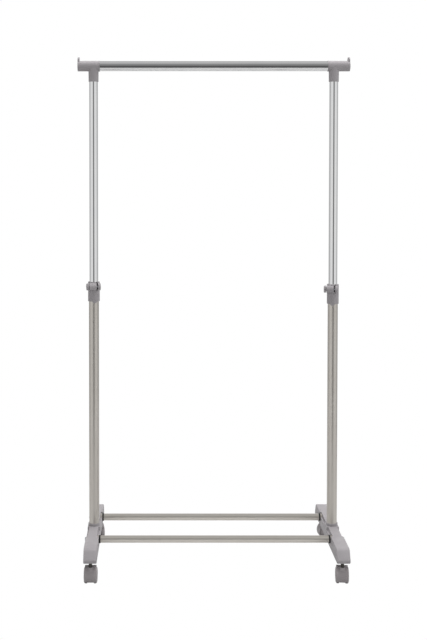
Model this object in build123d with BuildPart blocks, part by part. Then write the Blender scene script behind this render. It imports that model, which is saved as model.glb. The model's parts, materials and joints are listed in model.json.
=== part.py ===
"""Rolling clothes rack: two telescopic masts on a pair of castored feet, joined by a hanging rail."""
from build123d import *
import math
import os

os.makedirs("parts", exist_ok=True)

# All sizes are in millimetres. The origin is on the floor, midway between the masts:
# +X runs to the right along the hanging rail, +Y to the back and +Z up.

# Overall layout
mast_spacing = 760.0        # between the two mast axes
rail_height = 1578.0        # hanging rail's centre line above the floor
left_clamp_height = 895.0   # tops of the two height clamps
right_clamp_height = 887.0
front_rail_set = 95.0       # front rail, forward of the masts
rear_rail_set = 115.0       # rear rail, behind the masts
caster_spacing = 408.0      # front stems to rear stems

# Tubes
lower_tube_wall = 1.2
mast_gap = 0.8              # radial gap between the upper tube and the lower one
upper_tube_r = 14.0
upper_tube_wall = 1.0
top_rail_r = 16.0
top_rail_wall = 1.2
base_rail_r = 11.0
base_rail_wall = 1.0
overlap_in_mast = 155.0     # upper tube's length below the top of the lower clamp, as set

# Fits
seat_gap = 0.05             # radial gap of a piece seated in another for good
end_gap = 0.3               # gap at the blind end of a seat
running_gap = 0.07          # radial gap of a shaft that turns or slides in a bore
side_gap = 0.5              # gap between a turning face and its neighbour

# Feet
foot_past_stem = 36.0       # from a stem's axis to the end of the foot, before it is rounded
rail_above_foot = 29.0      # from the foot's underside to the base rails' centre lines
rail_cover = 2.0            # from the top of a base rail to the foot's top
foot_end_slope = 26.0       # how far the top of an end face leans back from its foot
foot_top_corner_r = 16.0
foot_bottom_corner_r = 9.0
foot_edge_r = 2.4
shoulder_width = 6.0        # the raised ridge between the shoulders takes the rest of the width
shoulder_depth = 11.0
shoulder_from_socket = 2.4
shoulder_past_rail = 15.0   # from a base rail's centre line to the shoulder's outer end
vent_r = 2.2                # small blind hole on the inner edge of each rear end block
vent_depth = 4.0
vent_past_rail = 30.0
vent_from_flank = 5.0
socket_wall = 2.6           # on the mast's outside, clearance included
socket_margin = 1.4         # from the socket to the flank
socket_rise = 8.0           # socket's rim above the foot's top
socket_floor_thickness = 8.0
pocket_wall = 4.0
pocket_roof_thickness = 14.0
boss_cover = 1.0            # a boss is longer than the mast is wide by this at each end
pocket_corner_r = 4.0

# Base rails and their fixings
rail_seat_depth = 30.0      # how far a base rail enters a foot
plug_length = 22.0
screw_r = 3.0
screw_head_r = 6.0
screw_head_height = 3.4
screw_bite = 14.0           # screw's length inside its plug
driver_recess_r = 2.3
driver_recess_depth = 1.8
ferrule_length = 5.0        # dark ring on each base rail, against the foot
ferrule_wall = 1.2

# Hanging rail connectors
tee_wall_on_rail = 0.6      # barrel beyond the rail
tee_wall_on_mast = 2.6      # barrel beyond the mast that its sleeve takes
tee_overhang = 50.0         # from the mast axis to the outer end
tee_past_sleeve = 3.8       # from the sleeve to the shoulder that the rail butts on
tee_rim_rise = 0.5
tee_rim_length = 4.0
sleeve_wall_top = 2.2
sleeve_wall_bottom = 1.6
sleeve_drop = 33.0          # sleeve's length below the barrel
sleeve_bore_top = 6.0       # blind end of the sleeve's bore, below the rail's centre line
spigot_length = 36.0
lip_thickness = 5.5
lip_rise = 11.3
lip_width = 22.0

# Height clamps, each in its own frame: mast axis and top of the clamp at the origin, front towards -Y
collar_wall = 2.6
collar_height = 62.0
collar_step = 34.0          # length of the lower, wider bore that seats the lower tube
collar_tongue = 5.0         # V-shaped tongue below the collar
tongue_half_width = 8.0
ear_r = 11.5
ear_past_collar = 0.1       # the left ear ends this far beyond the collar's side
ear_short_right = 1.6       # the right ear ends this far inside it
ear_corner_r = 1.0
slot_below_ear = 1.0
slot_left = 4.2
slot_right = 9.2
bolt_before_collar = 2.9    # bolt's axis in front of the collar's face
bolt_below_top = 14.3
bolt_r = 2.5
nut_across_flats = 8.0
nut_thickness = 4.0
nut_inset = 0.4
knob_r = 11.0
knob_thickness = 6.4
knob_hub_r = 6.0
knob_hub_length = 1.2
knob_flutes = 10
flute_r = 1.6
left_clamp_turn = 12.0      # degrees that each clamp is turned on its mast
right_clamp_turn = -12.0

# Casters, each in its own frame: stem axis at the origin, wheels trailing towards +Y
wheel_r = 25.0
wheel_width = 10.1
wheel_tread_width = 5.2
wheel_dome_drop = 9.0       # from the tread down to the flat middle of the outer face
wheel_shoulder_r = 13.0
wheel_edge = 0.8
caster_trail = 15.0
axle_r = 2.5
axle_end_gap = 1.4          # plastic left between the axle's end and the wheel's outer face
web_half_width = 9.8
fender_half_width = 17.0
fender_gap = 0.8
fender_wall = 2.6
hood_below_axle = 15.0
fender_back_angle = 48.0    # above the horizontal, at the trailing side
stem_boss_r = 8.0
stem_boss_rise = 0.6        # above the fender
neck_length = 18.0          # from the stem boss to the foot
neck_r = 5.2
stem_r = 4.0
stem_above_axle = 5.0
stem_seat = 27.0            # stem's length inside the foot
liner_r = 6.5
liner_flange_r = 9.0
liner_flange = 1.6
corners = {                 # side along X, side along Y, swivel angle in degrees
    "front_left": (-1, -1, 0.0),
    "front_right": (1, -1, -6.0),
    "rear_left": (-1, 1, -170.0),
    "rear_right": (1, 1, -82.0),
}

# Values that follow from the sizes above
half_spacing = mast_spacing / 2
half_foot = caster_spacing / 2 + foot_past_stem
upper_tube_bore = upper_tube_r - upper_tube_wall
lower_tube_bore = upper_tube_r + mast_gap
lower_tube_r = lower_tube_bore + lower_tube_wall
wheel_inner_face = web_half_width + side_gap
wheel_outer_face = wheel_inner_face + wheel_width
wheel_tread_end = wheel_inner_face + wheel_tread_width
wheel_dome_r = wheel_r - wheel_dome_drop
fender_inner_r = wheel_r + fender_gap
fender_outer_r = fender_inner_r + fender_wall
hood_bottom = wheel_r - hood_below_axle
stem_bottom = wheel_r + stem_above_axle
stem_boss_top = wheel_r + fender_outer_r + stem_boss_rise
foot_bottom = stem_boss_top + neck_length
base_rail_height = foot_bottom + rail_above_foot
foot_top = base_rail_height + base_rail_r + rail_cover
socket_r = lower_tube_r + socket_wall
socket_floor = foot_bottom + socket_floor_thickness
foot_width = 2 * (socket_r + socket_margin)
shoulder_inner_end = socket_r + shoulder_from_socket
pocket_width = foot_width - 2 * pocket_wall
pocket_roof = foot_top - pocket_roof_thickness
boss_length = 2 * (lower_tube_r + boss_cover)
tee_r = max(top_rail_r + tee_wall_on_rail, upper_tube_r + tee_wall_on_mast)
tee_rim_r = tee_r + tee_rim_rise
sleeve_r_top = upper_tube_r + sleeve_wall_top
sleeve_r_bottom = upper_tube_r + sleeve_wall_bottom
tee_inner = sleeve_r_top + tee_past_sleeve
collar_r = lower_tube_r + collar_wall
ear_left = -collar_r - ear_past_collar
ear_right = collar_r - ear_short_right
bolt_y = -collar_r - bolt_before_collar
rail_end = half_spacing - foot_width / 2 + rail_seat_depth - end_gap
sides = {"left": -1, "right": 1}
clamp_tops = {"left": left_clamp_height, "right": right_clamp_height}
tube_step = collar_step - collar_height
bolt_z = -bolt_below_top
stem_top = foot_bottom + stem_seat


def save(piece, name):
    """Label a finished piece and write it as its own file."""
    piece.label = name
    export_step(piece, f"parts/{name}.step")


def tube(plane, outer_r, bore_r, length):
    """A straight round tube that starts on a plane and follows its normal."""
    with BuildPart() as pipe:
        with BuildSketch(plane):
            Circle(outer_r)
            Circle(bore_r, mode=Mode.SUBTRACT)
        extrude(amount=length)
    return pipe.part


def pan_screw(plane, length):
    """A pan-head screw: its head stands on the plane, its shank goes along the plane's normal."""
    with BuildPart() as screw:
        with BuildSketch(plane):
            Circle(screw_r - seat_gap)
        extrude(amount=length)
        with BuildSketch(plane.offset(-screw_head_height)):
            Circle(screw_head_r)
        extrude(amount=screw_head_height)
        rim = screw.edges().filter_by(GeomType.CIRCLE).group_by(SortBy.RADIUS)[-1]
        rim_axis = Axis(plane.origin, plane.z_dir)
        fillet(rim.sort_by(rim_axis)[0], screw_head_height * 0.45)
        with BuildSketch(plane.offset(-screw_head_height)):
            RegularPolygon(driver_recess_r, 6)
        extrude(amount=driver_recess_depth, mode=Mode.SUBTRACT)
    return screw.part


# Feet: moulded beams with a raised ridge, a mast socket in the middle and open pockets below
with BuildPart() as foot:
    with BuildSketch(Plane.YZ.offset(-foot_width / 2)):
        with BuildLine():
            Polyline(
                (-half_foot, foot_bottom),
                (half_foot, foot_bottom),
                (half_foot - foot_end_slope, foot_top),
                (foot_end_slope - half_foot, foot_top),
                close=True,
            )
        make_face()
    extrude(amount=foot_width)
    cross_edges = foot.edges().filter_by(Axis.X).group_by(Axis.Z)
    fillet(cross_edges[-1], foot_top_corner_r)
    fillet(foot.edges().filter_by(Axis.X).group_by(Axis.Z)[0], foot_bottom_corner_r)
    flanks = foot.faces().filter_by(Axis.X)
    fillet(flanks.edges(), foot_edge_r)
    # Shoulders lower the top on both sides of the ridge, from the socket to just past each base rail
    for toward, rail_set in ((-1, front_rail_set), (1, rear_rail_set)):
        shoulder_outer_end = rail_set + shoulder_past_rail
        shoulder_length = shoulder_outer_end - shoulder_inner_end
        shoulder_middle = toward * (shoulder_outer_end + shoulder_inner_end) / 2
        with BuildSketch(Plane.XY.offset(foot_top - shoulder_depth)):
            with Locations((-foot_width / 2, shoulder_middle), (foot_width / 2, shoulder_middle)):
                RectangleRounded(2 * shoulder_width, shoulder_length, shoulder_width * 0.96)
        extrude(amount=2 * shoulder_depth, mode=Mode.SUBTRACT)
    # Blind hole in the top, near the inner flank
    with BuildSketch(Plane.XY.offset(foot_top - vent_depth)):
        with Locations((foot_width / 2 - vent_from_flank, rear_rail_set + vent_past_rail)):
            Circle(vent_r)
    extrude(amount=vent_depth, mode=Mode.SUBTRACT)
    # Socket rim and mast bore
    with BuildSketch(Plane.XY.offset(socket_floor)):
        Circle(socket_r)
    extrude(amount=foot_top + socket_rise - socket_floor)
    fillet(foot.faces().sort_by(Axis.Z)[-1].edges(), 1.2)
    with BuildSketch(Plane.XY.offset(socket_floor)):
        Circle(lower_tube_r + seat_gap)
    extrude(amount=foot_top + socket_rise - socket_floor, mode=Mode.SUBTRACT)
    # Hole and counterbore for the mast's screw
    with BuildSketch(Plane.XY.offset(foot_bottom)):
        Circle(screw_r + end_gap)
    extrude(amount=socket_floor - foot_bottom, mode=Mode.SUBTRACT)
    with BuildSketch(Plane.XY.offset(foot_bottom)):
        Circle(screw_head_r + end_gap)
    extrude(amount=screw_head_height + end_gap, mode=Mode.SUBTRACT)
    # Blind seats for the base rails in the inner flank, with screw holes through the outer flank
    with BuildSketch(Plane.YZ.offset(foot_width / 2 - rail_seat_depth)):
        with Locations((-front_rail_set, base_rail_height), (rear_rail_set, base_rail_height)):
            Circle(base_rail_r + seat_gap)
    extrude(amount=rail_seat_depth, mode=Mode.SUBTRACT)
    with BuildSketch(Plane.YZ.offset(-foot_width / 2)):
        with Locations((-front_rail_set, base_rail_height), (rear_rail_set, base_rail_height)):
            Circle(screw_r + end_gap)
    extrude(amount=foot_width - rail_seat_depth, mode=Mode.SUBTRACT)
    # Caster liner seats
    with BuildSketch(Plane.XY.offset(foot_bottom)):
        with GridLocations(0, caster_spacing, 1, 2):
            Circle(liner_r + seat_gap)
    extrude(amount=stem_seat + 3, mode=Mode.SUBTRACT)
    # Open pockets in the underside, between the solid bosses
    for toward, rail_set in ((-1, front_rail_set), (1, rear_rail_set)):
        for inner_boss, outer_boss in ((0.0, rail_set), (rail_set, caster_spacing / 2)):
            pocket_length = outer_boss - inner_boss - boss_length
            with BuildSketch(Plane.XY.offset(foot_bottom)):
                with Locations((0, toward * (inner_boss + outer_boss) / 2)):
                    RectangleRounded(pocket_width, pocket_length, pocket_corner_r)
            extrude(amount=pocket_roof - foot_bottom, mode=Mode.SUBTRACT)

# Drawn with its inner flank towards +X, so the right foot is its mirror image
right_foot = mirror(foot.part, about=Plane.YZ)
save(foot.part.moved(Location((-half_spacing, 0, 0))), "left_foot")
save(right_foot.moved(Location((half_spacing, 0, 0))), "right_foot")

# Base rails, with a threaded plug and a dark ring at each end, and a screw through each foot
rail_ys = {"front": -front_rail_set, "rear": rear_rail_set}
for place, y in rail_ys.items():
    rail_plane = Plane(origin=(-rail_end, y, base_rail_height), x_dir=(0, 1, 0), z_dir=(1, 0, 0))
    rail = tube(rail_plane, base_rail_r, base_rail_r - base_rail_wall, 2 * rail_end)
    save(rail, f"{place}_base_rail")

plugs = []
screws = []
ferrules = []
for side in sides.values():
    for y in rail_ys.values():
        inwards = {"x_dir": (0, 1, 0), "z_dir": (-side, 0, 0)}
        plug_plane = Plane(origin=(side * rail_end, y, base_rail_height), **inwards)
        plugs.append(tube(plug_plane, base_rail_r - base_rail_wall - seat_gap, screw_r, plug_length))
        flank_x = side * (half_spacing - foot_width / 2 - seat_gap)
        ferrule_plane = Plane(origin=(flank_x, y, base_rail_height), **inwards)
        ferrule_bore = base_rail_r + seat_gap
        ferrules.append(tube(ferrule_plane, ferrule_bore + ferrule_wall, ferrule_bore, ferrule_length))
        head_x = side * (half_spacing + foot_width / 2)
        screw_plane = Plane(origin=(head_x, y, base_rail_height), **inwards)
        screws.append(pan_screw(screw_plane, foot_width - rail_seat_depth + end_gap + screw_bite))
save(Compound(children=plugs), "base_rail_plugs")
save(Compound(children=screws), "base_rail_screws")
save(Compound(children=ferrules), "base_rail_ferrules")

# Lower mast tubes, each held down by a screw from under the foot into a plug
mast_plugs = []
mast_screws = []
for name, side in sides.items():
    foot_of_mast = Plane(origin=(side * half_spacing, 0, socket_floor + end_gap))
    lower_length = clamp_tops[name] + tube_step - end_gap - foot_of_mast.origin.Z
    save(tube(foot_of_mast, lower_tube_r, lower_tube_bore, lower_length), f"{name}_lower_tube")
    mast_plugs.append(tube(foot_of_mast, lower_tube_bore - seat_gap, screw_r, plug_length))
    head_seat = Plane(origin=(side * half_spacing, 0, foot_bottom + screw_head_height + end_gap))
    mast_screws.append(pan_screw(head_seat, foot_of_mast.origin.Z + screw_bite - head_seat.origin.Z))
save(Compound(children=mast_plugs), "mast_plugs")
save(Compound(children=mast_screws), "mast_screws")

# Height clamps: a split collar on the lower tube, squeezed onto the upper tube by a bolt
with BuildPart() as collar:
    with BuildSketch(Plane.XY.offset(-collar_height - collar_tongue)):
        Circle(collar_r)
    extrude(amount=collar_height + collar_tongue)
    fillet(collar.faces().sort_by(Axis.Z)[-1].edges(), 1.5)
    # The lower edge runs down to a blunt tongue at the front and at the back
    with BuildSketch(Plane.XZ.offset(-2 * collar_r)):
        with BuildLine():
            low = -collar_height - collar_tongue
            Polyline(
                (tongue_half_width / 2, low),
                (tongue_half_width, low + collar_tongue),
                (2 * collar_r, low + collar_tongue),
                (2 * collar_r, low - collar_tongue),
                (tongue_half_width / 2, low - collar_tongue),
                close=True,
            )
        make_face()
        mirror(about=Plane.YZ)
    extrude(amount=4 * collar_r, mode=Mode.SUBTRACT)
    # Ears: a barrel along the bolt, in front of the mast
    with BuildSketch(Plane.YZ.offset(ear_left)):
        with Locations((bolt_y, bolt_z)):
            Circle(ear_r)
    extrude(amount=ear_right - ear_left)
    ear_ends = collar.faces().filter_by(Axis.X).sort_by(Axis.X)
    fillet(ear_ends[0].edges().filter_by(GeomType.CIRCLE), ear_corner_r)
    # Bores for the upper tube and, below the step, for the lower tube
    with BuildSketch(Plane.XY.offset(tube_step)):
        Circle(upper_tube_r + running_gap)
    extrude(amount=collar_height, mode=Mode.SUBTRACT)
    with BuildSketch(Plane.XY.offset(-collar_height - 2 * collar_tongue)):
        Circle(lower_tube_r + seat_gap)
    extrude(amount=collar_step + 2 * collar_tongue, mode=Mode.SUBTRACT)
    # Slot that lets the bolt close the collar
    with BuildSketch(Plane.XY.offset(bolt_z - ear_r - slot_below_ear)):
        with Locations(((slot_left + slot_right) / 2, bolt_y - 3)):
            Rectangle(slot_right - slot_left, 2 * ear_r + 6)
    extrude(amount=collar_height, mode=Mode.SUBTRACT)
    # Bolt hole and nut pocket
    with BuildSketch(Plane.YZ.offset(ear_left - 1)):
        with Locations((bolt_y, bolt_z)):
            Circle(bolt_r + running_gap)
    extrude(amount=ear_right - ear_left + 2, mode=Mode.SUBTRACT)
    with BuildSketch(Plane.YZ.offset(ear_right - nut_thickness - nut_inset)):
        with Locations((bolt_y, bolt_z)):
            RegularPolygon(nut_across_flats / 2 + seat_gap, 6, major_radius=False)
    extrude(amount=nut_thickness + 2 * nut_inset, mode=Mode.SUBTRACT)

with BuildPart() as nut:
    with BuildSketch(Plane.YZ.offset(ear_right - nut_thickness - nut_inset + seat_gap)):
        with Locations((bolt_y, bolt_z)):
            RegularPolygon(nut_across_flats / 2, 6, major_radius=False)
            Circle(bolt_r + running_gap, mode=Mode.SUBTRACT)
    extrude(amount=nut_thickness - 2 * seat_gap)

knob_face = ear_left - side_gap - knob_hub_length
with BuildPart() as knob:
    with BuildSketch(Plane.YZ.offset(knob_face)):
        with Locations((bolt_y, bolt_z)):
            Circle(knob_hub_r)
    extrude(amount=knob_hub_length)
    with BuildSketch(Plane.YZ.offset(knob_face - knob_thickness)):
        with Locations((bolt_y, bolt_z)):
            Circle(knob_r)
            with PolarLocations(knob_r + flute_r * 0.35, knob_flutes):
                Circle(flute_r, mode=Mode.SUBTRACT)
    extrude(amount=knob_thickness)
    fillet(knob.faces().sort_by(Axis.X)[0].edges(), 1.0)
    with BuildSketch(Plane.YZ.offset(knob_face - knob_thickness / 2)):
        with Locations((bolt_y, bolt_z)):
            Circle(bolt_r + seat_gap)
    extrude(amount=knob_thickness + knob_hub_length, mode=Mode.SUBTRACT)

with BuildPart() as bolt:
    with BuildSketch(Plane.YZ.offset(knob_face - knob_thickness / 2 + end_gap)):
        with Locations((bolt_y, bolt_z)):
            Circle(bolt_r)
    extrude(amount=ear_right - nut_inset - knob_face + knob_thickness / 2 - end_gap)
    chamfer(bolt.faces().sort_by(Axis.X)[-1].edges(), 0.6)

for name, turn in (("left", left_clamp_turn), ("right", right_clamp_turn)):
    mast = Location((sides[name] * half_spacing, 0, clamp_tops[name]), (0, 0, turn))
    save(collar.part.moved(mast), f"{name}_clamp_collar")
    save(nut.part.moved(mast), f"{name}_clamp_nut")
    save(knob.part.moved(mast), f"{name}_clamp_knob")
    save(bolt.part.moved(mast), f"{name}_clamp_bolt")

# Upper mast tubes, each with a guide plug that slides in the lower tube
upper_bottom = min(clamp_tops.values()) - overlap_in_mast
guide_rim = 3.0
guide_top = rail_height - sleeve_bore_top - end_gap
for name, side in sides.items():
    upper_plane = Plane(origin=(side * half_spacing, 0, upper_bottom))
    save(tube(upper_plane, upper_tube_r, upper_tube_bore, guide_top - upper_bottom), f"{name}_upper_tube")
    with BuildPart() as guide:
        with BuildSketch(upper_plane.offset(-guide_rim)):
            Circle(lower_tube_bore - running_gap)
        extrude(amount=guide_rim - seat_gap)
        with BuildSketch(upper_plane.offset(-guide_rim)):
            Circle(upper_tube_bore - seat_gap)
        extrude(amount=guide_rim + plug_length)
        with BuildSketch(upper_plane.offset(-guide_rim)):
            Circle(upper_tube_bore - 3)
        extrude(amount=guide_rim + plug_length, mode=Mode.SUBTRACT)
    save(guide.part, f"{name}_guide_plug")

# Hanging rail
rail_half = half_spacing - tee_inner - seat_gap
top_plane = Plane(origin=(-rail_half, 0, rail_height), x_dir=(0, 1, 0), z_dir=(1, 0, 0))
save(tube(top_plane, top_rail_r, top_rail_r - top_rail_wall, 2 * rail_half), "top_rail")

# Rail connectors, drawn for the left mast: barrel to the left, spigot into the rail to the right
with BuildPart() as tee:
    with BuildSketch(Plane.YZ.offset(-tee_overhang)):
        Circle(tee_r)
    extrude(amount=tee_overhang + tee_inner)
    with BuildSketch(Plane.YZ.offset(tee_inner - tee_rim_length)):
        Circle(tee_rim_r)
    extrude(amount=tee_rim_length)
    chamfer(tee.faces().sort_by(Axis.X)[-1].edges(), 0.4)
    with BuildSketch(Plane.XY.offset(-tee_r - sleeve_drop)):
        Circle(sleeve_r_bottom)
    with BuildSketch(Plane.XY):
        Circle(sleeve_r_top)
    loft()
    fillet(tee.faces().sort_by(Axis.Z)[0].edges(), 0.8)
    with BuildSketch(Plane.XY.offset(-tee_r - sleeve_drop)):
        Circle(upper_tube_r + seat_gap)
    extrude(amount=tee_r + sleeve_drop - sleeve_bore_top, mode=Mode.SUBTRACT)
    # Spigot that fills the rail's end
    with BuildSketch(Plane.YZ.offset(tee_inner)):
        Circle(top_rail_r - top_rail_wall - seat_gap)
        Circle(top_rail_r - top_rail_wall - 3, mode=Mode.SUBTRACT)
    extrude(amount=spigot_length)
    # Upright lip at the outer end, which keeps hangers on the barrel
    with BuildSketch(Plane.YZ.offset(-tee_overhang)):
        with BuildLine():
            crown = tee_r + lip_rise
            half_lip = lip_width / 2
            Line((-half_lip, 0), (half_lip, 0))
            Line((half_lip, 0), (half_lip, crown - half_lip))
            ThreePointArc((half_lip, crown - half_lip), (0, crown), (-half_lip, crown - half_lip))
            Line((-half_lip, crown - half_lip), (-half_lip, 0))
        make_face()
    extrude(amount=lip_thickness)
    fillet(tee.faces().sort_by(Axis.X)[0].edges(), 1.2)
right_tee = mirror(tee.part, about=Plane.YZ)
save(tee.part.moved(Location((-half_spacing, 0, rail_height))), "left_tee")
save(right_tee.moved(Location((half_spacing, 0, rail_height))), "right_tee")

# Casters: a hood on a swivelling stem, with two wheels on a fixed axle
with BuildPart() as hood:
    # Middle web: a disc around the axle, cut off above the floor
    with BuildSketch(Plane.YZ.offset(-web_half_width)):
        with Locations((caster_trail, wheel_r)):
            Circle(fender_outer_r)
        with Locations((caster_trail, hood_bottom - fender_outer_r)):
            Rectangle(4 * fender_outer_r, 2 * fender_outer_r, mode=Mode.SUBTRACT)
        with Locations((caster_trail + fender_outer_r, wheel_r)):
            Circle(fender_outer_r * 0.72, mode=Mode.SUBTRACT)
    extrude(amount=2 * web_half_width)
    # Fender over both wheels
    with BuildSketch(Plane.YZ.offset(-fender_half_width)):
        with Locations((caster_trail, wheel_r)):
            Circle(fender_outer_r)
            Circle(fender_inner_r, mode=Mode.SUBTRACT)
        with Locations((caster_trail, hood_bottom - fender_outer_r)):
            Rectangle(4 * fender_outer_r, 2 * fender_outer_r, mode=Mode.SUBTRACT)
        with BuildLine():
            back_angle = math.radians(fender_back_angle)
            reach = 2 * fender_outer_r
            Polyline(
                (caster_trail, wheel_r),
                (caster_trail + reach * math.cos(back_angle), wheel_r + reach * math.sin(back_angle)),
                (caster_trail + reach, wheel_r - reach),
                (caster_trail, wheel_r - reach),
                close=True,
            )
        make_face(mode=Mode.SUBTRACT)
    extrude(amount=2 * fender_half_width)
    # Boss around the stem
    with BuildSketch(Plane.XY.offset(hood_bottom + 4)):
        Circle(stem_boss_r)
    extrude(amount=stem_boss_top - hood_bottom - 4)
    fillet(hood.faces().sort_by(Axis.Z)[-1].edges(), 1.2)
    with BuildSketch(Plane.XY.offset(stem_bottom - end_gap)):
        Circle(stem_r + seat_gap)
    extrude(amount=stem_boss_top, mode=Mode.SUBTRACT)
    with BuildSketch(Plane.YZ.offset(-web_half_width - 1)):
        with Locations((caster_trail, wheel_r)):
            Circle(axle_r + seat_gap)
    extrude(amount=2 * web_half_width + 2, mode=Mode.SUBTRACT)

with BuildPart() as stem:
    with BuildSketch(Plane.XY.offset(stem_bottom)):
        Circle(stem_r)
    extrude(amount=stem_top - stem_bottom)
    chamfer(stem.faces().sort_by(Axis.Z)[-1].edges(), 0.8)
    with BuildSketch(Plane.XY.offset(stem_boss_top + seat_gap)):
        Circle(neck_r)
    extrude(amount=foot_bottom - liner_flange - side_gap - stem_boss_top - seat_gap)

with BuildPart() as axle:
    axle_half = wheel_outer_face - axle_end_gap - end_gap
    with BuildSketch(Plane.YZ.offset(-axle_half)):
        with Locations((caster_trail, wheel_r)):
            Circle(axle_r)
    extrude(amount=2 * axle_half)

# The right-hand wheel is a turned disc with a domed outer face and a blind bore
with BuildPart() as wheel:
    with BuildSketch(Plane.XY):
        with BuildLine():
            Polyline(
                (wheel_inner_face, 0),
                (wheel_inner_face, wheel_r - wheel_edge),
                (wheel_inner_face + wheel_edge, wheel_r),
                (wheel_tread_end, wheel_r),
            )
            RadiusArc((wheel_tread_end, wheel_r), (wheel_outer_face, wheel_dome_r), wheel_shoulder_r)
            Polyline((wheel_outer_face, wheel_dome_r), (wheel_outer_face, 0), (wheel_inner_face, 0))
        make_face()
    revolve(axis=Axis.X)
    with BuildSketch(Plane.YZ.offset(wheel_inner_face)):
        Circle(axle_r + running_gap)
    extrude(amount=wheel_outer_face - axle_end_gap - wheel_inner_face, mode=Mode.SUBTRACT)
wheel_centre = Location((0, caster_trail, wheel_r))
left_wheel = mirror(wheel.part, about=Plane.YZ)

# Liners: plastic sleeves in the feet that the stems turn in
with BuildPart() as liner:
    with BuildSketch(Plane.XY.offset(foot_bottom - liner_flange)):
        Circle(liner_flange_r)
    extrude(amount=liner_flange - seat_gap)
    with BuildSketch(Plane.XY.offset(foot_bottom - liner_flange)):
        Circle(liner_r)
    extrude(amount=liner_flange + stem_seat + 2)
    with BuildSketch(Plane.XY.offset(foot_bottom - liner_flange)):
        Circle(stem_r + running_gap)
    extrude(amount=liner_flange + stem_seat + 1, mode=Mode.SUBTRACT)

liners = []
for corner, (side_x, side_y, swivel) in corners.items():
    spot = Location((side_x * half_spacing, side_y * caster_spacing / 2, 0), (0, 0, swivel))
    save(hood.part.moved(spot), f"{corner}_caster_hood")
    save(stem.part.moved(spot), f"{corner}_caster_stem")
    save(axle.part.moved(spot), f"{corner}_caster_axle")
    save(left_wheel.moved(spot * wheel_centre), f"{corner}_left_wheel")
    save(wheel.part.moved(spot * wheel_centre), f"{corner}_right_wheel")
    liners.append(liner.part.moved(spot))
save(Compound(children=liners), "caster_liners")
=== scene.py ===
"""Looks of the rolling clothes rack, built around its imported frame. Metres, +Z up, front towards -Y."""
import json
import math

import bmesh
import bpy
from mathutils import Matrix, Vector


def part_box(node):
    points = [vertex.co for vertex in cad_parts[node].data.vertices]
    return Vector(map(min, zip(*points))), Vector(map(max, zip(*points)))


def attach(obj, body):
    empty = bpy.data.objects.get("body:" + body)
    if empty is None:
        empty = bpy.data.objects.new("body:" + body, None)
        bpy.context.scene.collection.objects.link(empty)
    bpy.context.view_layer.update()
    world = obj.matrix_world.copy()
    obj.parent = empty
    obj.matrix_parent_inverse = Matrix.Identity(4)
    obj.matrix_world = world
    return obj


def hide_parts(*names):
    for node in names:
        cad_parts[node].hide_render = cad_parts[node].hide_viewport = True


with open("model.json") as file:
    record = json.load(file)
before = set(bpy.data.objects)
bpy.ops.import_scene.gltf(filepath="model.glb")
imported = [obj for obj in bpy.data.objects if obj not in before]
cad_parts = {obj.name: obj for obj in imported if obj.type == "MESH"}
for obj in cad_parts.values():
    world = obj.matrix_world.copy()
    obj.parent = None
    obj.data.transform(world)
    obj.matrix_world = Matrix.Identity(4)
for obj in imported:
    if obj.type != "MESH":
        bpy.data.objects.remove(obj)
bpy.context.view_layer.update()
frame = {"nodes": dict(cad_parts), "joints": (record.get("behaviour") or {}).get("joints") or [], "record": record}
scene = bpy.context.scene

# ---------------------------------------------------------------------------------------------
# Camera: a long lens in front of the rack, a little to its left, near the height of the rail.
# The shift keeps the masts upright, as a view camera's rising front does.

rail_low, rail_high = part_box("top_rail")
rail_middle = (rail_low + rail_high) / 2

camera_data = bpy.data.cameras.new("studio_camera")
camera_data.sensor_width = 36.0
camera_data.lens = 61.1
camera_data.shift_x = 0.0866
camera_data.shift_y = -0.1993
camera = bpy.data.objects.new("studio_camera", camera_data)
camera.location = (-0.1759, -3.4454, rail_middle.z - 0.298)
camera.rotation_euler = (math.radians(90 - 1.69), 0, 0)
scene.collection.objects.link(camera)
scene.camera = camera
scene.view_settings.view_transform = "Standard"


# ---------------------------------------------------------------------------------------------
# Studio: a white sweep with the rack in the middle, under a big soft overhead light. The room in
# front of the rack is left dark, which draws the thin dark line down the middle of the chrome.

def linear(colour):
    """An sRGB hex colour as linear RGBA."""
    channels = [int(colour[i:i + 2], 16) / 255 for i in (1, 3, 5)]
    straight = [c / 12.92 if c <= 0.04045 else ((c + 0.055) / 1.055) ** 2.4 for c in channels]
    return (*straight, 1.0)


def node(tree, kind, settings=None, **inputs):
    """Add a node. A setting is an attribute; an input is a value, or an output socket to link."""
    made = tree.nodes.new(kind)
    for key, value in (settings or {}).items():
        setattr(made, key, value)
    for key, value in inputs.items():
        socket = made.inputs[int(key[1:])] if key[0] == "_" else made.inputs[key.replace("_", " ")]
        if isinstance(value, bpy.types.NodeSocket):
            tree.links.new(value, socket)
        else:
            socket.default_value = value
    return made


def ramp(tree, factor, *stops):
    """A colour ramp of (position, grey) stops."""
    made = node(tree, "ShaderNodeValToRGB", _0=factor)
    made.color_ramp.interpolation = "EASE"
    while len(made.color_ramp.elements) < len(stops):
        made.color_ramp.elements.new(0.5)
    for element, (position, grey) in zip(made.color_ramp.elements, stops):
        element.position = position
        element.color = (grey, grey, grey, 1)
    return made.outputs[0]


world = bpy.data.worlds.new("studio")
world.use_nodes = True
scene.world = world
air = world.node_tree
air.nodes.clear()
ray = node(air, "ShaderNodeTexCoord").outputs["Generated"]
parts = node(air, "ShaderNodeSeparateXYZ", _0=ray)
sideways = node(air, "ShaderNodeMath", {"operation": "ABSOLUTE"}, _0=parts.outputs["X"]).outputs[0]
height = node(air, "ShaderNodeMapRange", _0=parts.outputs["Z"], _1=-1.0, _2=1.0).outputs[0]
# In front of the rack: bright paper at its feet, then dark floor, then the room up to the ceiling
front = ramp(
    air, height,
    (0.0, 0.70), (0.03, 0.66), (0.145, 0.28), (0.32, 0.05),
    (0.52, 0.18), (0.72, 0.24), (0.88, 0.36), (0.985, 0.54),
)
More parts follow.
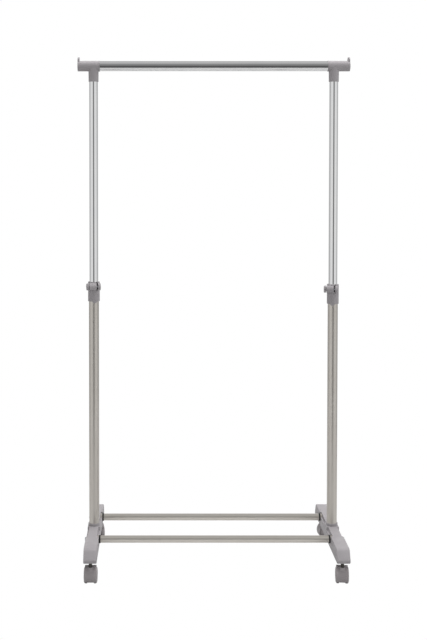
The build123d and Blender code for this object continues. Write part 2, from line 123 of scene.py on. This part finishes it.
# Beside it the tent's walls are bright, and behind it they fall off before the lit background
depth = node(air, "ShaderNodeMapRange", _0=parts.outputs["Y"], _1=-1.0, _2=1.0).outputs[0]
walls = ramp(air, depth, (0.0, 0.80), (0.38, 0.76), (0.62, 0.46), (0.90, 0.50), (1.0, 0.85))
aside = ramp(air, sideways, (0.14, 0.0), (0.42, 1.0))
lit = node(air, "ShaderNodeMix", {"data_type": "RGBA"}, _0=aside, _6=front, _7=walls)
back = ramp(air, depth, (0.50, 0.0), (0.72, 1.0))
room = node(air, "ShaderNodeMix", {"data_type": "RGBA"}, _0=back, _6=lit.outputs[2], _7=walls)
around = node(air, "ShaderNodeBackground", Color=room.outputs[2], Strength=1.0)
behind = node(air, "ShaderNodeBackground", Color=(1, 1, 1, 1), Strength=1.0)
seen = node(air, "ShaderNodeLightPath").outputs["Is Camera Ray"]
chosen = node(air, "ShaderNodeMixShader", _0=seen, _1=around.outputs[0], _2=behind.outputs[0])
node(air, "ShaderNodeOutputWorld", Surface=chosen.outputs[0])

for name, place, aim, size, power in (
    ("overhead_softbox", (0.2, 0.3, 5.0), (0, 0, 0), 3.0, 205.0),
    ("left_softbox", (-3.4, -1.6, 1.9), (0, 0, 0.8), 1.8, 6.0),
    ("right_softbox", (3.4, -1.2, 1.9), (0, 0, 0.8), 1.8, 30.0),
):
    lamp_data = bpy.data.lights.new(name, "AREA")
    lamp_data.size = size
    lamp_data.energy = power
    lamp = bpy.data.objects.new(name, lamp_data)
    lamp.location = place
    lamp.rotation_euler = (Vector(place) - Vector(aim)).to_track_quat("Z", "Y").to_euler()
    lamp.visible_glossy = False
    scene.collection.objects.link(lamp)

floor_half_width = 1.4
floor_mesh = bmesh.new()
bmesh.ops.create_grid(floor_mesh, x_segments=2, y_segments=2, size=floor_half_width)
floor_data = bpy.data.meshes.new("studio_floor")
floor_mesh.to_mesh(floor_data)
floor_mesh.free()
floor = bpy.data.objects.new("studio_floor", floor_data)
scene.collection.objects.link(floor)

# White studio paper: a matt surface that bounces light up at the rack. Seen directly it is
# overexposed to plain white, so the rack stands without a shadow, as a cut-out does.
paper = bpy.data.materials.new("white_studio_paper")
paper.use_nodes = True
pulp = paper.node_tree
sheet = pulp.nodes["Principled BSDF"]
sheet.inputs["Roughness"].default_value = 0.9
sheet.inputs["Specular IOR Level"].default_value = 0.1
on_paper = node(pulp, "ShaderNodeTexCoord").outputs["Object"]
fibre = node(pulp, "ShaderNodeTexNoise", Vector=on_paper, Scale=260.0, Detail=3.0).outputs["Fac"]
shade = node(
    pulp, "ShaderNodeMix", {"data_type": "RGBA"}, _0=fibre, _6=linear("#bcbcbc"), _7=linear("#c4c4c4")
)
pulp.links.new(shade.outputs[2], sheet.inputs["Base Color"])
overexposed = node(pulp, "ShaderNodeEmission", Color=(1, 1, 1, 1), Strength=1.0)
direct = node(pulp, "ShaderNodeLightPath").outputs["Is Camera Ray"]
shown = node(pulp, "ShaderNodeMixShader", _0=direct, _1=sheet.outputs[0], _2=overexposed.outputs[0])
pulp.links.new(shown.outputs[0], pulp.nodes["Material Output"].inputs["Surface"])
floor_data.materials.append(paper)


# ---------------------------------------------------------------------------------------------
# Upper masts and hanging rail: thin-walled steel tube, polished and chrome plated. The masts slide
# in the lower ones; the rail is pushed over a spigot of each connector.

def surface(name, metallic=0.0):
    """A new material with its tree, its shader and the piece's own coordinates."""
    made = bpy.data.materials.new(name)
    made.use_nodes = True
    bsdf = made.node_tree.nodes["Principled BSDF"]
    bsdf.inputs["Metallic"].default_value = metallic
    return made, made.node_tree, bsdf, node(made.node_tree, "ShaderNodeTexCoord").outputs["Object"]


def chrome_plate(name, grain):
    """Bright chrome: a clear mirror, with the faint lengthwise draw lines of the tube under it."""
    made, tree, bsdf, place = surface(name, 1.0)
    drawn = node(tree, "ShaderNodeMapping", _0=place, Scale=grain).outputs[0]
    lines = node(tree, "ShaderNodeTexNoise", Vector=drawn, Scale=1.0, Detail=4.0).outputs["Fac"]
    smears = node(
        tree, "ShaderNodeTexNoise", Vector=place, Scale=14.0, Detail=5.0, Roughness=0.6
    ).outputs["Fac"]
    tint = node(
        tree, "ShaderNodeMix", {"data_type": "RGBA"}, _0=smears, _6=linear("#e9eaec"), _7=linear("#f3f3f2")
    )
    tree.links.new(tint.outputs[2], bsdf.inputs["Base Color"])
    # Finger marks and haze dull the plate unevenly
    haze = node(tree, "ShaderNodeMapRange", _0=smears, _1=0.35, _2=0.75, _3=0.05, _4=0.14).outputs[0]
    tree.links.new(haze, bsdf.inputs["Roughness"])
    relief = node(tree, "ShaderNodeBump", Strength=0.05, Distance=0.0002, Height=lines).outputs[0]
    tree.links.new(relief, bsdf.inputs["Normal"])
    return made


def finish_piece(name, mesh, material, body, finish_slot, *stands_for):
    """Turn a bmesh into a piece that rides on its body and stands for its CAD nodes."""
    data = bpy.data.meshes.new(name)
    mesh.to_mesh(data)
    mesh.free()
    data.shade_smooth()
    data.set_sharp_from_angle(angle=math.radians(32))
    data.materials.append(material)
    piece = bpy.data.objects.new(name, data)
    scene.collection.objects.link(piece)
    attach(piece, body)
    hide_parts(*stands_for)
    return piece


def turned(outline, centre, axis, steps=96):
    """Spin a closed outline of (distance along the axis, radius) points round an axis."""
    mesh = bmesh.new()
    along = Vector(axis).normalized()
    across = along.orthogonal().normalized()
    corners = [mesh.verts.new(Vector(centre) + along * a + across * r) for a, r in outline]
    ring = [mesh.edges.new(pair) for pair in zip(corners, corners[1:] + corners[:1])]
    bmesh.ops.spin(
        mesh, geom=corners + ring, cent=centre, axis=along, angle=math.tau, steps=steps, use_merge=True
    )
    bmesh.ops.remove_doubles(mesh, verts=mesh.verts, dist=1e-6)
    bmesh.ops.recalc_face_normals(mesh, faces=mesh.faces)
    return mesh


def tube_outline(length, outer, bore, lip=0.0003):
    """A tube's wall in section, with its cut ends just broken."""
    return [
        (0, bore + lip), (0, outer - lip), (lip, outer), (length - lip, outer),
        (length, outer - lip), (length, bore + lip), (length - lip, bore), (lip, bore),
    ]


def tube_piece(name, cad_node, wall, material, body, finish_slot):
    """A smooth tube where a CAD tube stands, along the longest side of its box."""
    low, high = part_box(cad_node)
    size = high - low
    longest = max(range(3), key=lambda i: size[i])
    axis = Vector((0, 0, 0))
    axis[longest] = 1
    start = (low + high) / 2
    start[longest] = low[longest]
    outer = min(size) / 2
    mesh = turned(tube_outline(size[longest], outer, outer - wall), start, axis)
    return finish_piece(name, mesh, material, body, finish_slot, cad_node)


upper_mast_wall = 0.0010
hanging_rail_wall = 0.0012
draw_line_pitch = 0.0006    # drawn coarser than the real lines, which are too fine to show
across_grain = 1 / draw_line_pitch
upright_chrome = chrome_plate("chrome_plate_upright", (across_grain, across_grain, 2.0))
level_chrome = chrome_plate("chrome_plate_level", (2.0, across_grain, across_grain))
for side in ("left", "right"):
    tube_piece(
        f"{side}_upper_mast", f"{side}_upper_tube", upper_mast_wall, upright_chrome, "upper_frame", "chrome"
    )
tube_piece("hanging_rail", "top_rail", hanging_rail_wall, level_chrome, "upper_frame", "chrome")

# ---------------------------------------------------------------------------------------------
# Lower masts and base rails: welded steel tube with a satin nickel finish, brushed lengthwise.
# The masts stand in sockets of the feet, and the rails are screwed between the feet.

lower_mast_wall = 0.0012
base_rail_wall = 0.0010


def satin_nickel(name, grain, dull, bright):
    """Satin nickel: a warm grey metal whose brushing spreads each highlight into a soft band."""
    made, tree, bsdf, place = surface(name, 1.0)
    brushed = node(tree, "ShaderNodeMapping", _0=place, Scale=grain).outputs[0]
    lines = node(
        tree, "ShaderNodeTexNoise", Vector=brushed, Scale=1.0, Detail=6.0, Roughness=0.7
    ).outputs["Fac"]
    clouds = node(tree, "ShaderNodeTexNoise", Vector=place, Scale=9.0, Detail=4.0).outputs["Fac"]
    streak = node(
        tree, "ShaderNodeMix", {"data_type": "RGBA"}, _0=lines, _6=linear(dull), _7=linear(bright)
    )
    cast = node(
        tree, "ShaderNodeMix", {"data_type": "RGBA", "blend_type": "MULTIPLY"},
        _0=clouds, _6=streak.outputs[2], _7=linear("#f2f0ed"),
    )
    tree.links.new(cast.outputs[2], bsdf.inputs["Base Color"])
    sheen = node(tree, "ShaderNodeMapRange", _0=lines, _1=0.3, _2=0.7, _3=0.28, _4=0.42).outputs[0]
    tree.links.new(sheen, bsdf.inputs["Roughness"])
    relief = node(tree, "ShaderNodeBump", Strength=0.12, Distance=0.0002, Height=lines).outputs[0]
    tree.links.new(relief, bsdf.inputs["Normal"])
    return made


# The base rails' copy of the satin nickel is painted a little paler than the masts' copy: painted light, standing
# in for the extra light that the level rails catch, on the same finish as the masts
upright_nickel = satin_nickel(
    "satin_nickel_upright", (across_grain, across_grain, 6.0), "#cac6c0", "#d8d4cf"
)
level_nickel_painted_lighter = satin_nickel(
    "satin_nickel_level_painted_lighter", (6.0, across_grain, across_grain), "#dedad3", "#eae6e0"
)
for side in ("left", "right"):
    tube_piece(
        f"{side}_lower_mast", f"{side}_lower_tube", lower_mast_wall, upright_nickel, "base", "satin_steel"
    )
for place_name in ("front", "rear"):
    tube_piece(
        f"{place_name}_rail", f"{place_name}_base_rail", base_rail_wall, level_nickel_painted_lighter, "base", "satin_steel"
    )

# ---------------------------------------------------------------------------------------------
# Mouldings: feet, rail connectors, clamp collars and knobs in grey polypropylene, straight from
# the mould. Their corners are softened as a mould's are, and their skin is finely spark-eroded.

def moulded_plastic(name, light, dark, grit=0.0009):
    """Matte moulded plastic: an even satin skin with a fine pebbled grain and slight flow clouds."""
    made, tree, bsdf, place = surface(name)
    bsdf.inputs["IOR"].default_value = 1.49
    bsdf.inputs["Specular IOR Level"].default_value = 0.45
    # The real grain is about 0.1 mm, too fine to show, so it is drawn coarser
    grain = node(
        tree, "ShaderNodeTexNoise", Vector=place, Scale=1 / grit, Detail=3.0, Roughness=0.6
    ).outputs["Fac"]
    flow = node(
        tree, "ShaderNodeTexNoise", Vector=place, Scale=22.0, Detail=5.0, Distortion=0.6
    ).outputs["Fac"]
    speckle = node(
        tree, "ShaderNodeMix", {"data_type": "RGBA"}, _0=grain, _6=linear(dark), _7=linear(light)
    )
    clouded = node(
        tree, "ShaderNodeMix", {"data_type": "RGBA", "blend_type": "MULTIPLY"},
        _0=flow, _6=speckle.outputs[2], _7=linear("#ebe8ea"),
    )
    tree.links.new(clouded.outputs[2], bsdf.inputs["Base Color"])
    rub = node(tree, "ShaderNodeMapRange", _0=flow, _1=0.3, _2=0.7, _3=0.40, _4=0.56).outputs[0]
    tree.links.new(rub, bsdf.inputs["Roughness"])
    relief = node(tree, "ShaderNodeBump", Strength=0.22, Distance=0.00015, Height=grain).outputs[0]
    tree.links.new(relief, bsdf.inputs["Normal"])
    return made


def moulding(name, cad_node, material, body, finish_slot, edge=0.0004):
    """A CAD shape with its facets merged, its flats cleaned and its sharp corners rounded."""
    mesh = bmesh.new()
    mesh.from_mesh(frame["nodes"][cad_node].data)
    bmesh.ops.remove_doubles(mesh, verts=mesh.verts, dist=1e-5)
    bmesh.ops.dissolve_limit(
        mesh, angle_limit=math.radians(0.6), verts=mesh.verts, edges=mesh.edges,
        use_dissolve_boundaries=False,
    )
    piece = finish_piece(name, mesh, material, body, finish_slot, cad_node)
    rounding = piece.modifiers.new("corner_rounding", "BEVEL")
    rounding.width = edge
    rounding.segments = 2
    rounding.limit_method = "ANGLE"
    rounding.angle_limit = math.radians(40)
    rounding.harden_normals = True
    return piece


grey_moulding = moulded_plastic("grey_polypropylene", "#aaa7a9", "#959294")
for side in ("left", "right"):
    moulding(f"{side}_foot_moulding", f"{side}_foot", grey_moulding, "base", "grey_plastic")
    moulding(f"{side}_connector", f"{side}_tee", grey_moulding, "upper_frame", "grey_plastic")
    moulding(f"{side}_collar", f"{side}_clamp_collar", grey_moulding, "base", "grey_plastic")
    moulding(f"{side}_hand_knob", f"{side}_clamp_knob", grey_moulding, f"{side}_knob", "grey_plastic")

# ---------------------------------------------------------------------------------------------
# Casters: hooded twin-wheel casters. The hood and wheels are a darker nylon, and the wheels are
# turned discs with a dished outer face.

caster_nylon = moulded_plastic("grey_nylon", "#a7a2a3", "#918d8e")
wheel_thickness = 0.0101
dish_depth = 0.0009         # the outer face lies this far inside the shoulder
dish_step = 0.0016          # from the shoulder's crown in to the dish
hub_cap_radius = 0.0036
hub_cap_foot = 0.0045       # radius where the cap meets the dish
hub_cap_inset = 0.0003      # the cap ends this far inside the shoulder


def wheel_outline(radius, thickness):
    """Half section of a wheel from its inner face outwards: tread, shoulder and dished outer face."""
    edge, crown = 0.0008, radius * 0.64
    shoulder = [
        (thickness * (0.515 + 0.485 * math.sin(t)), crown + (radius - crown) * math.cos(t))
        for t in (math.radians(a) for a in range(0, 91, 10))
    ]
    dish = [(thickness - dish_depth, crown - dish_step), (thickness - dish_depth, hub_cap_foot)]
    cap = [(thickness - hub_cap_inset, hub_cap_radius), (thickness - hub_cap_inset, 0.0)]
    return [(0.0, 0.0), (0.0, radius - edge), (edge, radius), *shoulder, *dish, *cap]


for corner in ("front_left", "front_right", "rear_left", "rear_right"):
    moulding(f"{corner}_hood", f"{corner}_caster_hood", caster_nylon, f"{corner}_caster", "caster_plastic")
    for side, way in (("left", -1), ("right", 1)):
        wheel_joint = next(j for j in frame["joints"] if j["name"] == f"{corner}_{side}_roll")
        axis = Vector(wheel_joint["axis"]) * way
        low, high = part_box(f"{corner}_{side}_wheel")
        hub = (low + high) / 2
        wheel = turned(
            wheel_outline((high.z - low.z) / 2, wheel_thickness), hub - axis * wheel_thickness / 2, axis, 72
        )
        finish_piece(
            f"{corner}_{side}_roller", wheel, caster_nylon, f"{corner}_{side}_wheel", "caster_plastic",
            f"{corner}_{side}_wheel",
        )

# ---------------------------------------------------------------------------------------------
# Small hardware that shows only a little: zinc-plated screws and bolts, oiled steel stems and
# axles, and black plugs and liners. These keep their CAD shapes and take a real finish.

def plain_metal(name, light, dark, rough):
    """Plated or oiled steel: a small spangle in colour and gloss keeps it from looking cast."""
    made, tree, bsdf, place = surface(name, 1.0)
    spangle = node(tree, "ShaderNodeTexVoronoi", Vector=place, Scale=900.0).outputs["Distance"]
    tone = node(tree, "ShaderNodeMix", {"data_type": "RGBA"}, _0=spangle, _6=linear(light), _7=linear(dark))
    tree.links.new(tone.outputs[2], bsdf.inputs["Base Color"])
    gloss = node(tree, "ShaderNodeMapRange", _0=spangle, _3=rough - 0.06, _4=rough + 0.1).outputs[0]
    tree.links.new(gloss, bsdf.inputs["Roughness"])
    return made


finishes = {
    "zinc_steel": plain_metal("bright_zinc_plate", "#c9ccd0", "#aeb2b6", 0.3),
    "dark_steel": plain_metal("oiled_steel", "#55534f", "#3c3a38", 0.38),
    "black_plastic": moulded_plastic("black_nylon", "#2b2a2b", "#201f20"),
}
for row in frame["record"]["subparts"]:
    if row["material_slot"] in finishes:
        data = frame["nodes"][row["node"]].data
        data.materials.clear()
        data.materials.append(finishes[row["material_slot"]])
